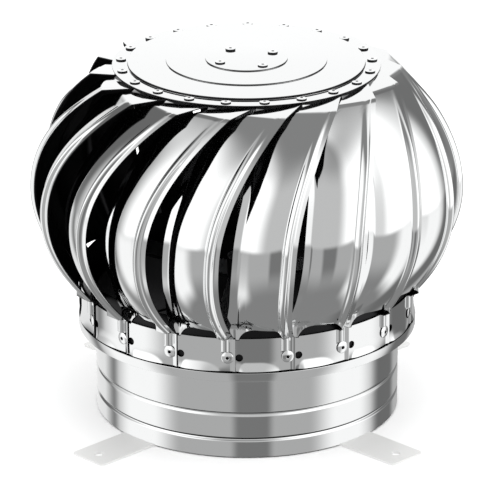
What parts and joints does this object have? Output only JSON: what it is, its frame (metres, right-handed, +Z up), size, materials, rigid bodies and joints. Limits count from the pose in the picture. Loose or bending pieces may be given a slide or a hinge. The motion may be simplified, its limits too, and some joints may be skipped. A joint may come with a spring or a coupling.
{
  "type": "roof turbine ventilator",
  "caption": "Wind-driven roof ventilator: a ball of curved, riveted sheet blades turns on a fixed shaft above a beaded round neck with strap feet.",
  "frame": {"origin": "on the shaft's axis, in the plane that the feet stand on", "axes": "+Z up along the shaft, -Y towards the front between two feet; seen from above the ball turns either way round +Z"},
  "size_m": [0.2836, 0.2796, 0.2398],
  "materials": {
    "polished_stainless": "mirror-polished stainless sheet",
    "plain_stainless": "mill-finish stainless",
    "rivet_steel": "bright blind rivets",
    "bearing_steel": "ground bearing steel",
    "spring_steel": "phosphated spring steel",
    "bush_plastic": "natural acetal"
  },
  "bodies": {
    "base": {"neck_duct": "polished_stainless", "collar_ring": "polished_stainless", "foot_front_left": "polished_stainless", "foot_front_right": "polished_stainless", "foot_rear_left": "polished_stainless", "foot_rear_right": "polished_stainless", "lower_bracket": "plain_stainless", "upper_bracket": "plain_stainless", "shaft": "plain_stainless", "shaft_nuts": "plain_stainless", "shaft_washers": "plain_stainless", "bearing_inner_race": "bearing_steel", "shaft_circlip": "spring_steel"},
    "rotor": {"band_ring": "plain_stainless", "band_rivets": "rivet_steel", "bearing_housing": "plain_stainless", "bearing_outer_race": "bearing_steel", "bearing_shields": "bearing_steel", "blade_01": "polished_stainless", "blade_02": "polished_stainless", "blade_03": "polished_stainless", "blade_04": "polished_stainless", "blade_05": "polished_stainless", "blade_06": "polished_stainless", "blade_07": "polished_stainless", "blade_08": "polished_stainless", "blade_09": "polished_stainless", "blade_10": "polished_stainless", "blade_11": "polished_stainless", "blade_12": "polished_stainless", "blade_13": "polished_stainless", "blade_14": "polished_stainless", "blade_15": "polished_stainless", "blade_16": "polished_stainless", "blade_17": "polished_stainless", "blade_18": "polished_stainless", "clamp_ring": "plain_stainless", "housing_circlip": "spring_steel", "hub_rivets": "rivet_steel", "lower_bush": "bush_plastic", "lower_spider": "plain_stainless", "rim_rivets": "rivet_steel", "top_cap": "polished_stainless"},
    "ball_set": {"bearing_balls": "bearing_steel", "bearing_cage": "bearing_steel"}
  },
  "joints": [
    {"name": "rotor_spin", "type": "hinge", "parent": "base", "child": "rotor", "pos_m": [0, 0, 0.2299], "axis": [0, 0, 1], "continuous": true},
    {"name": "ball_set_spin", "type": "hinge", "parent": "base", "child": "ball_set", "pos_m": [0, 0, 0.2299], "axis": [0, 0, 1], "continuous": true}
  ],
  "couplings": [
    {"joint": "ball_set_spin", "follows": "rotor_spin", "ratio": 0.619}
  ]
}
